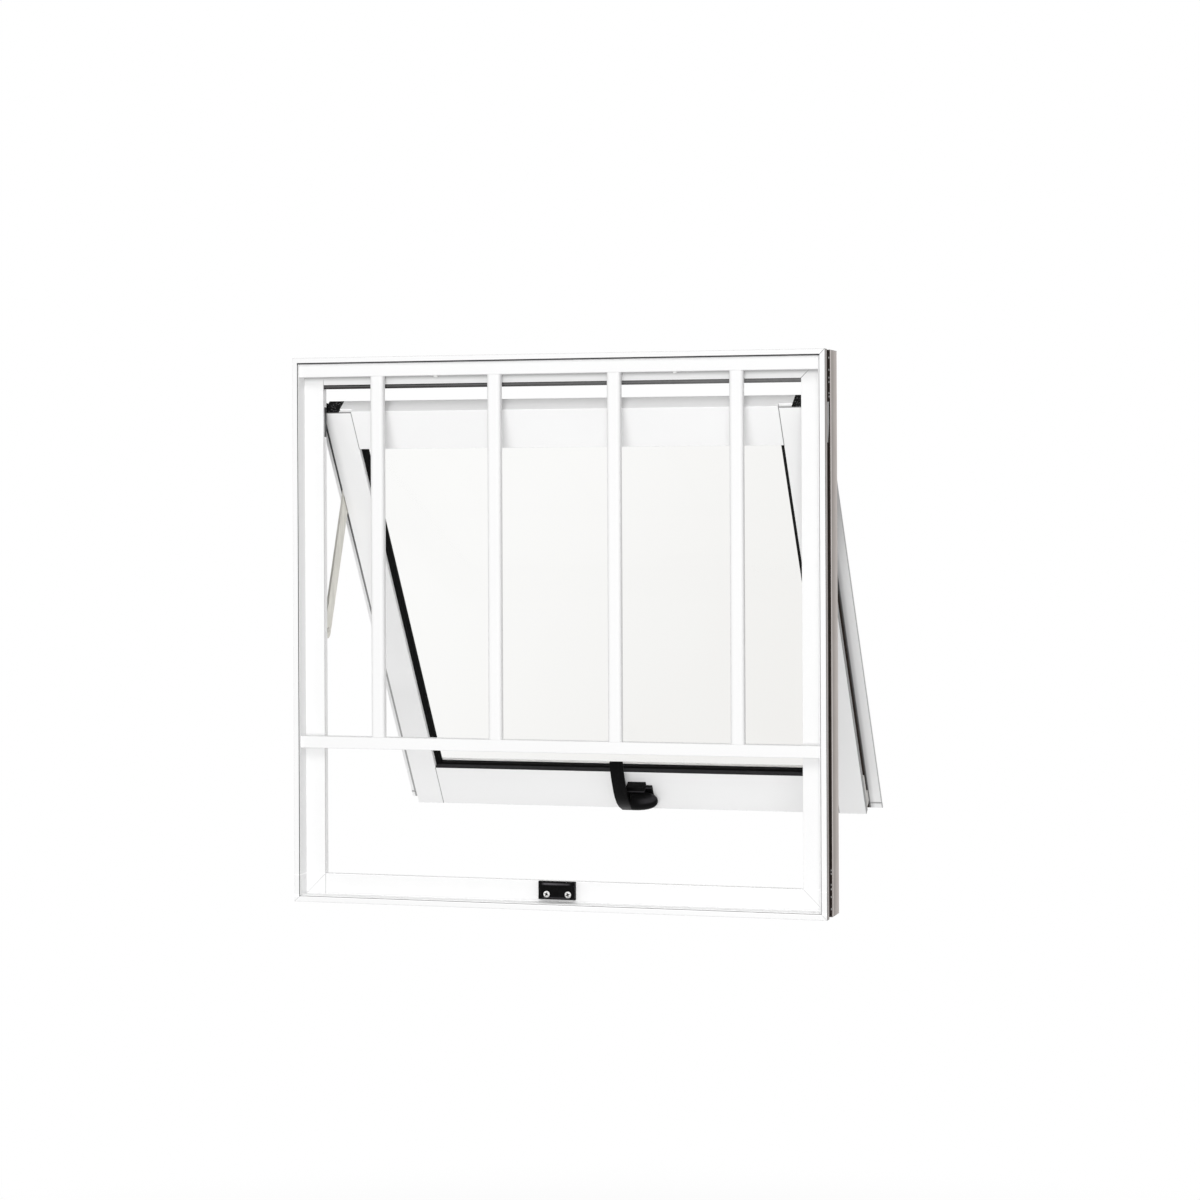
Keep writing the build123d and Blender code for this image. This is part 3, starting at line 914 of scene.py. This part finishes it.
class WINDOW_OT_seals(bpy.types.Operator):
    """Make the rubber seals round the glass and the frame"""

    bl_idname = "awning.seals"
    bl_label = "Seals"

    def execute(self, context):
        black = rubber("seal_rubber", tuple(settings("window_finish").rubber))
        inner = (
            [(0.0, 12.8), (0.0, 5.5), (8.4, 5.5)]
            + arc((9.6, 6.6), 1.1, 230, 400, 8)
            + [(10.9, 8.2)]
            + arc((12.4, 10.6), 1.6, 300, 400, 8)
            + [(13.9, 12.8)]
        )
        self.seal("glazing_gasket_inner", inner, black, INNER_SEAL_LOW_SHARE)
        # the low lip gets a paler rubber, a painted highlight along its brim
        self.low_lip(rubber("lip_rubber_highlight", (0.024, 0.024, 0.025)))
        outer = (
            [(0.0, 16.8), (6.6, 16.8)]
            + arc((6.9, 17.5), 0.7, -80, 80, 5)
            + [(6.6, 18.3), (0.0, 18.3)]
        )
        self.seal("glazing_gasket_outer", outer, black)
        self.weather(black)
        paint(("head_weather_strip",), self.strip_rubber())
        return {"FINISHED"}

    def strip_rubber(self):
        """Grey rubber of the head's strip, paler to the right and along its middle."""
        low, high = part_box("head_weather_strip")
        material, place, surface = shader("strip_rubber")
        x, _, z = place.axes()
        tone = x.ramp(low[0], high[0]).blend((0.03, 0.028, 0.028), (0.15, 0.15, 0.15))
        height = high[2] - low[2]
        middle = (z - low[2]).band(0.38 * height / MM, 0.74 * height / MM)
        tone = (middle * 0.3).blend(tone, (0.30, 0.30, 0.30))
        grain = place.noise(300.0, 3.0)
        tone = (grain * 0.3).blend(tone, (0.02, 0.02, 0.02))
        finish(surface, tone, grain * 0.2 + 0.6, None, 0.1)
        return material

    def seal(self, node, profile, material, low_share=1.0):
        """Seal round the glass, in place of its CAD node."""
        scaled = [(a * MM, b * MM) for a, b in profile]
        shape = ring(SEAL_HALF * MM, SEAL_TOP * MM, SEAL_LOW * MM, scaled, low_share)
        shape.transform(sash_matrix())
        name = node + "_look"
        new_piece(name, mesh_from(shape, name, 40), material, "rubber_black", node)

    def low_lip(self, material):
        """Lip of the inner seal that covers the bottom rail's edge, with a rounded brim."""
        edge, side = RAIL_EDGE, STILE_JOINT
        profile = [(edge, 0.9), (edge - 0.5, 0.8), (edge - 1.1, 0.95), (edge - 1.5, 1.5)]
        profile += [(edge - 1.5, 4.6), (edge - 2.1, 5.6), (edge, 5.6)]
        shape = bmesh.new()
        ends = []
        for x in (-side, side):
            ends.append([shape.verts.new((x * MM, s * MM, t * MM)) for s, t in profile])
        skin(shape, ends)
        shape.faces.new(ends[0])
        shape.faces.new(list(reversed(ends[1])))
        shape.transform(sash_matrix())
        name = "glazing_gasket_low_lip_look"
        mesh = mesh_from(shape, name, 40)
        new_piece(name, mesh, material, "rubber_black", "glazing_gasket_inner")

    def weather(self, material):
        """Bulb seal on the stop lip, which the shut sash presses."""
        low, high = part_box("frame_weather_gasket")
        middle, half, back = (high[2] + low[2]) / 2, (high[0] - low[0]) / 2, low[1]
        profile = [(0.0, 0.0), (7.4, 0.0), (7.4, 0.7), (5.6, 0.9)]
        profile += arc((4.1, 1.35), 1.3, -10, 190, 10) + [(2.0, 0.9), (0.0, 0.7)]
        scaled = [(a * MM, b * MM) for a, b in profile]
        shape = ring(half, -half, half, scaled)
        turn = Matrix(((1, 0, 0, 0), (0, 0, 1, back), (0, 1, 0, middle), (0, 0, 0, 1)))
        shape.transform(turn)
        name = "frame_weather_seal_look"
        mesh = mesh_from(shape, name, 40)
        new_piece(name, mesh, material, "rubber_black", "frame_weather_gasket")


# Screws, made once by Geometry Nodes and set on points


def node_group(name, inputs):
    """Geometry Nodes tree with a geometry in and out and the named inputs."""
    tree = bpy.data.node_groups.new(name, "GeometryNodeTree")
    tree.interface.new_socket("Geometry", in_out="INPUT", socket_type="NodeSocketGeometry")
    for label, kind in inputs:
        tree.interface.new_socket(label, in_out="INPUT", socket_type=kind)
    tree.interface.new_socket("Geometry", in_out="OUTPUT", socket_type="NodeSocketGeometry")
    return tree, tree.nodes.new("NodeGroupInput"), tree.nodes.new("NodeGroupOutput")


def set_on_points(tree_name, points, piece, material, name):
    """Repeat one mesh on points by Geometry Nodes and return a plain mesh."""
    inputs = (("Piece", "NodeSocketObject"), ("Material", "NodeSocketMaterial"))
    tree, source, result = node_group(tree_name, inputs)
    wire = Wire(tree)
    given = {socket.name: Wire(tree, socket) for socket in source.outputs}
    spots = wire.node("GeometryNodeMeshToPoints", None, {"Mesh": given["Geometry"]}, "Points")
    info = wire.node("GeometryNodeObjectInfo", None, {"Object": given["Piece"]}, "Geometry")
    kind, name_in = {"data_type": "FLOAT_VECTOR"}, {"Name": "turn"}
    turned = wire.node("GeometryNodeInputNamedAttribute", kind, name_in, "Attribute")
    parts = {"Points": spots, "Instance": info, "Rotation": turned}
    copies = wire.node("GeometryNodeInstanceOnPoints", None, parts, "Instances")
    plain = wire.node("GeometryNodeRealizeInstances", None, {"Geometry": copies}, "Geometry")
    parts = {"Geometry": plain, "Material": given["Material"]}
    wire.feed(result, "Geometry", wire.node("GeometryNodeSetMaterial", None, parts))

    holder_mesh = bpy.data.meshes.new(name + "_points")
    holder_mesh.from_pydata([place for place, _ in points], [], [])
    turns = holder_mesh.attributes.new("turn", "FLOAT_VECTOR", "POINT")
    for index, (_, turn) in enumerate(points):
        turns.data[index].vector = turn
    holder = added(name + "_holder", holder_mesh)
    pattern = added(name + "_pattern", piece)
    modifier = holder.modifiers.new("set", "NODES")
    modifier.node_group = tree
    values = {"Piece": pattern, "Material": material}
    for item in tree.interface.items_tree:
        if item.in_out == "INPUT" and item.name in values:
            modifier[item.identifier] = values[item.name]
    mesh = plain_mesh(holder, name)
    bpy.data.objects.remove(pattern)
    return mesh


def pan_head(radius, height, shank):
    """Screw head with a domed top and a cross recess, its seat at Z = 0."""
    shape = bmesh.new()
    shape.verts.layers.float.new("recess")
    rings = [(SHANK_SHARE * radius, -shank)]
    rings += [(reach * radius, level * height) for reach, level in HEAD_PROFILE]
    loops = []
    for reach, level in rings:
        loops.append([shape.verts.new((x, y, level)) for x, y in circle(HEAD_SIDES, reach)])
    skin(shape, loops)
    shape.faces.new(list(reversed(loops[0])))
    cross_in_head(shape, loops[-1], radius, height)
    bmesh.ops.recalc_face_normals(shape, faces=shape.faces)
    return mesh_from(shape, "pan_head", 35)


def cross_in_head(shape, rim, radius, height):
    """Fill the top of a head inside its last loop, with a cross sunk into it."""
    arm, wing = 0.15 * radius, 0.60 * radius
    outline = []
    for quarter in range(4):
        angle = quarter * math.pi / 2
        cosine, sine = math.cos(angle), math.sin(angle)
        for x, y in ((wing, -arm), (wing, arm), (arm * 1.25, arm * 1.25)):
            outline.append((x * cosine - y * sine, x * sine + y * cosine))
    crown = 0.96 * height
    top = [shape.verts.new((x, y, crown)) for x, y in outline]
    floor = [shape.verts.new((0.72 * x, 0.72 * y, 0.22 * height)) for x, y in outline]
    skin(shape, [top, floor])
    middle = shape.verts.new((0, 0, 0.1 * height))
    recess = shape.verts.layers.float["recess"]
    for vert in floor + [middle]:
        vert[recess] = 1.0
    for one, two in zip(floor, floor[1:] + floor[:1]):
        shape.faces.new((one, two, middle))
    edges = []
    for loop in (rim, top):
        edges += [shape.edges.get(pair) for pair in zip(loop, loop[1:] + loop[:1])]
    bmesh.ops.triangle_fill(shape, use_beauty=True, use_dissolve=False, edges=edges)


class WINDOW_OT_screws(bpy.types.Operator):
    """Set cross-recess screws in the keeper and under the grille's top rail"""

    bl_idname = "awning.screws"
    bl_label = "Screws"

    def execute(self, context):
        sizes = settings("window_screws")
        colour = tuple(settings("window_finish").zinc)
        zinc = metal("screw_zinc", colour, 0.3, (1, 1, 1), 0.06, "recess")
        low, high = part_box("keeper_screws")
        radius = sizes.head_radius
        height = (low[2] + high[2]) / 2 + SCREW_RAISE * MM
        seat = low[1] + sizes.head_height * 0.75
        ends = (low[0] + radius + SCREW_SHIFT * MM, high[0] - radius + SCREW_SHIFT * MM)
        points = [
            ((x, seat, height), (math.radians(90), math.radians(turn), 0))
            for x, turn in zip(ends, SCREW_TURNS)
        ]
        head = pan_head(radius, sizes.head_height, SCREW_SHANK * MM)
        mesh = set_on_points("screws_on_points", points, head, zinc, "keeper_screws_look")
        new_piece("keeper_screws_look", mesh, None, "screw_steel", "keeper_screws")
        low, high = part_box("grille_rail_screws")
        radius = (high[1] - low[1]) / 2
        depth = (low[1] + high[1]) / 2
        points = [
            ((x, depth, high[2]), (math.radians(180), 0, math.radians(30)))
            for x in (low[0] + radius, high[0] - radius)
        ]
        head = pan_head(radius, high[2] - low[2], 0.5 * MM)
        mesh = set_on_points("rail_screws_on_points", points, head, zinc, "rail_screws_look")
        new_piece("grille_rail_screws_look", mesh, None, "screw_steel", "grille_rail_screws")
        return {"FINISHED"}


class WINDOW_OT_keeper(bpy.types.Operator):
    """Make the crowned keeper plate on the sill"""

    bl_idname = "awning.keeper"
    bl_label = "Keeper"

    def execute(self, context):
        low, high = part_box("latch_keeper")
        width, height = high[0] - low[0], high[2] - low[2]
        rim = low[1] + KEEPER_RIM * MM
        crown = settings("window_keeper").crown
        shape = bmesh.new()
        across, up = 60, 30
        grid = []
        for row in range(up + 1):
            line = []
            for column in range(across + 1):
                u, v = column / across, row / up
                x, z = low[0] + u * width, low[2] + v * height
                line.append(shape.verts.new((x, self.face(u, v, width, height, rim, crown), z)))
            grid.append(line)
        for one, two in zip(grid, grid[1:]):
            for corners in zip(one, one[1:], two[1:], two):
                shape.faces.new(corners)
        self.close(shape, grid, high[1])
        mesh = mesh_from(shape, "keeper_plate", 35)
        colour = tuple(settings("window_finish").nylon)
        nylon = black_plastic("keeper_nylon", colour, 0.3, 0.0, self.painted_sheen)
        new_piece("latch_keeper_look", mesh, nylon, "black_nylon", "latch_keeper")
        return {"FINISHED"}

    def painted_sheen(self, place):
        """Mask of a painted highlight below the keeper's upper edge and a fainter low one."""
        low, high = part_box("latch_keeper")
        x, _, z = place.axes()
        from_top = high[2] - z
        inside = (x - low[0]).ramp(0.003, 0.008) * (high[0] - x).ramp(0.003, 0.008)
        streak = from_top.ramp(0.0012, 0.0024) * from_top.ramp(0.0027, 0.0043, 1.0, 0.0)
        streak = streak * (x - low[0]).ramp(0.012, 0.036, 0.85, 0.4)
        foot = (z - low[2]).ramp(0.0008, 0.0016) * (z - low[2]).ramp(0.002, 0.003, 1.0, 0.0)
        return inside * streak.highest(foot * 0.4)

    def face(self, u, v, width, height, rim, crown):
        """Depth of the front: a rim and a crown that rises inside it."""
        edge = min(u * width, (1 - u) * width, v * height * 1.4, (1 - v) * height) / MM
        start, run = KEEPER_SLOPE
        rise = max(0.0, min(1.0, (edge - start) / run))
        return rim - crown * rise * rise * (3 - 2 * rise)

    def close(self, shape, grid, back):
        """Sides and back of the plate."""
        outline = grid[0][:-1]
        outline += [line[-1] for line in grid[:-1]]
        outline += list(reversed(grid[-1][1:]))
        outline += [line[0] for line in reversed(grid[1:])]
        rear = [shape.verts.new((p.co.x, back, p.co.z)) for p in outline]
        skin(shape, [outline, rear])
        shape.faces.new(rear)


class WINDOW_OT_latch(bpy.types.Operator):
    """Make the latch: a bowed lever and a rounded body"""

    bl_idname = "awning.latch"
    bl_label = "Latch"

    def execute(self, context):
        colour = tuple(settings("window_finish").nylon)
        self.lever(black_plastic("lever_nylon", colour, 0.34, 0.0, self.lever_sheen))
        self.body(black_plastic("latch_nylon", colour, 0.34, 0.0, self.body_sheen))
        return {"FINISHED"}

    def lever_sheen(self, place):
        """Mask of a painted highlight on the lever's lower end."""
        return sash_axes(place)[1].ramp(0.520, 0.552) * 0.3

    def body_sheen(self, place):
        """Mask of faint painted highlights across the body and on its nose."""
        x, down, through = sash_axes(place)
        body_highlight = abs(down - HIGHLIGHT_DOWN * MM).ramp(0.0002, 0.0012, 1.0, 0.0) * 0.35
        nose = abs(down - NOSE_HIGHLIGHT_DOWN * MM).ramp(0.0010, 0.0035, 1.0, 0.0)
        nose = nose * x.ramp(0.006, 0.02) * 0.2
        return body_highlight.highest(nose * (1 - through.above(-8.0 * MM)))

    def lever(self, nylon):
        """Blade bowed off the sash, thinner at both ends."""
        shape = bmesh.new()
        loops = []
        for index, (down, out, thick) in enumerate(LEVER_STATIONS):
            before = LEVER_STATIONS[max(index - 1, 0)]
            after = LEVER_STATIONS[min(index + 1, len(LEVER_STATIONS) - 1)]
            run = Vector((after[0] - before[0], after[1] - before[1])).normalized()
            side = Vector((-run.y, run.x))
            inner = Vector((down, out)) + side * thick
            near, far = (down, out), (inner.x, inner.y)
            left, right = LEVER_SIDES
            corners = ((left, near), (right, near), (right, far), (left, far))
            loops.append([shape.verts.new((x * MM, d * MM, o * MM)) for x, (d, o) in corners])
        skin(shape, loops)
        shape.faces.new(loops[0])
        shape.faces.new(list(reversed(loops[-1])))
        shape.transform(sash_matrix())
        mesh = bevelled(mesh_from(shape, "lever_cage"), "latch_lever_look", 0.7 * MM, 50)
        new_piece("latch_lever_look", mesh, nylon, "black_plastic", "latch_lever")

    def body(self, nylon):
        """Stepped base with a blunt nose across it."""
        shape = bmesh.new()
        for sides in BODY_BLOCKS:
            made = bmesh.ops.create_cube(shape, size=1.0)
            for vert in made["verts"]:
                ends = zip(vert.co, sides)
                vert.co = [(low if place < 0 else high) * MM for place, (low, high) in ends]
        self.nose(shape)
        shape.transform(sash_matrix())
        mesh = bevelled(mesh_from(shape, "body_cage"), "latch_body_look", 0.8 * MM, 45)
        new_piece("latch_body_look", mesh, nylon, "black_plastic", "latch_body")

    def nose(self, shape):
        """Round nose pointing right from the lever."""
        loops = []
        for x, radius in NOSE_RADII:
            places = [(x, NOSE_DOWN + s, NOSE_OUT + t) for s, t in circle(NOSE_SIDES, radius)]
            loops.append([shape.verts.new([value * MM for value in place]) for place in places])
        skin(shape, loops)
        shape.faces.new(list(reversed(loops[0])))
        shape.faces.new(loops[-1])


# Stage


def rays(wire):
    """Masks of the camera's rays, of mirrored ones and of those that went through glass."""
    kinds = ("Is Camera Ray", "Is Glossy Ray", "Is Transmission Ray")
    return [wire.node("ShaderNodeLightPath", None, None, kind) for kind in kinds]


class WINDOW_OT_stage(bpy.types.Operator):
    """Set the floor, the soft light and the camera"""

    bl_idname = "awning.stage"
    bl_label = "Stage"

    def execute(self, context):
        self.floor()
        self.room()
        self.lamps()
        self.camera()
        context.scene.view_settings.view_transform = "Standard"
        return {"FINISHED"}

    def floor(self):
        """Pale round floor that fades into the white around it."""
        shape = bmesh.new()
        drop = settings("window_stage").floor_drop
        bmesh.ops.create_circle(shape, cap_ends=True, segments=96, radius=3.2)
        bmesh.ops.translate(shape, verts=shape.verts, vec=(0, 0, -drop))
        mesh = bpy.data.meshes.new("floor")
        shape.to_mesh(mesh)
        shape.free()
        floor = added("floor", mesh)
        material, place, surface = shader("floor_paint")
        mesh.materials.append(material)
        reach = place.node("ShaderNodeVectorMath", {"operation": "LENGTH"}, {0: place}, "Value")
        tone = place.noise(3.0, 3.0).blend((0.80, 0.80, 0.80), (0.83, 0.83, 0.83))
        place.feed(surface, "Base Color", tone)
        surface.inputs["Roughness"].default_value = 0.9
        surface.inputs["Specular IOR Level"].default_value = 0.1
        seen, mirrored, through = rays(place)
        glow = place.node("ShaderNodeEmission", None, {"Color": (1, 1, 1), "Strength": 1.0})
        fade = (reach.ramp(1.0, 3.0, 0.35, 1.0) * seen.highest(through)).highest(mirrored)
        paint_out = Wire(place.tree, surface.outputs[0])
        mixed = place.node("ShaderNodeMixShader", None, {0: fade, 1: paint_out, 2: glow})
        output = next(n for n in place.tree.nodes if n.type == "OUTPUT_MATERIAL")
        place.feed(output, "Surface", mixed)

    def room(self):
        """Even light all round, white where it is seen, mirrored or looked through."""
        world = bpy.data.worlds.new("white_room")
        world.use_nodes = True
        bpy.context.scene.world = world
        tree = world.node_tree
        tree.nodes.clear()
        wire = Wire(tree)
        white = strongest(*rays(wire))
        level = settings("window_stage").sky_level
        strength = white * (1.0 - level) + level
        light = wire.node("ShaderNodeBackground", None, {"Color": (1, 1, 1), "Strength": strength})
        output = tree.nodes.new("ShaderNodeOutputWorld")
        tree.links.new(light.socket, output.inputs["Surface"])

    def lamps(self):
        stage = settings("window_stage")
        self.lamp("front_lamp", *FRONT_LAMP, stage.front_power)
        self.lamp("top_lamp", *TOP_LAMP, stage.top_power)

    def lamp(self, name, place, size, power):
        data = bpy.data.lights.new(name, "AREA")
        data.shape = "DISK"
        data.size = size
        data.energy = power
        lamp = added(name, data)
        aim = Vector(LAMP_AIM) - Vector(place)
        lamp.rotation_euler = aim.to_track_quat("-Z", "Y").to_euler()
        lamp.location = place
        lamp.visible_glossy = False
        lamp.visible_camera = False

    def camera(self):
        stage = settings("window_stage")
        data = bpy.data.cameras.new("camera")
        data.sensor_width = 36.0
        data.lens = stage.focal_length
        data.shift_x, data.shift_y = CAMERA_SHIFT
        data.clip_start = 0.05
        camera = added("camera", data)
        turn = (
            Matrix.Rotation(stage.yaw, 4, "Z")
            @ Matrix.Rotation(math.radians(90), 4, "X")
            @ Matrix.Rotation(stage.roll, 4, "Z")
        )
        place = (CAMERA_X, room_face() - CAMERA_AWAY, CAMERA_Z)
        camera.matrix_world = Matrix.Translation(place) @ turn
        bpy.context.scene.camera = camera


# Panel and start


class WINDOW_PT_panel(bpy.types.Panel):
    """Lists the window's pieces and settings"""

    bl_label = "Awning window"
    bl_idname = "WINDOW_PT_panel"
    bl_space_type = "VIEW_3D"
    bl_region_type = "UI"
    bl_category = "Window"

    def draw(self, context):
        for operator in OPERATORS:
            self.layout.operator(operator.bl_idname)
        for name, group in GROUPS.items():
            box = self.layout.box()
            for key in group.__annotations__:
                box.prop(getattr(context.scene, name), key)


GROUPS = {
    "window_finish": FinishSettings,
    "window_sash": SashSettings,
    "window_screws": ScrewSettings,
    "window_keeper": KeeperSettings,
    "window_stage": StageSettings,
}
OPERATORS = (
    WINDOW_OT_finishes,
    WINDOW_OT_seals,
    WINDOW_OT_screws,
    WINDOW_OT_keeper,
    WINDOW_OT_latch,
    WINDOW_OT_stage,
)


def register():
    for group in GROUPS.values():
        bpy.utils.register_class(group)
    for operator in OPERATORS:
        bpy.utils.register_class(operator)
    bpy.utils.register_class(WINDOW_PT_panel)
    for name, group in GROUPS.items():
        setattr(bpy.types.Scene, name, PointerProperty(type=group))


def unregister():
    for name in GROUPS:
        delattr(bpy.types.Scene, name)
    bpy.utils.unregister_class(WINDOW_PT_panel)
    for operator in reversed(OPERATORS):
        bpy.utils.unregister_class(operator)
    for group in reversed(GROUPS.values()):
        bpy.utils.unregister_class(group)


def main():
    register()
    for operator in OPERATORS:
        group, name = operator.bl_idname.split(".")
        getattr(getattr(bpy.ops, group), name)()


if __name__ == "__main__":
    main()
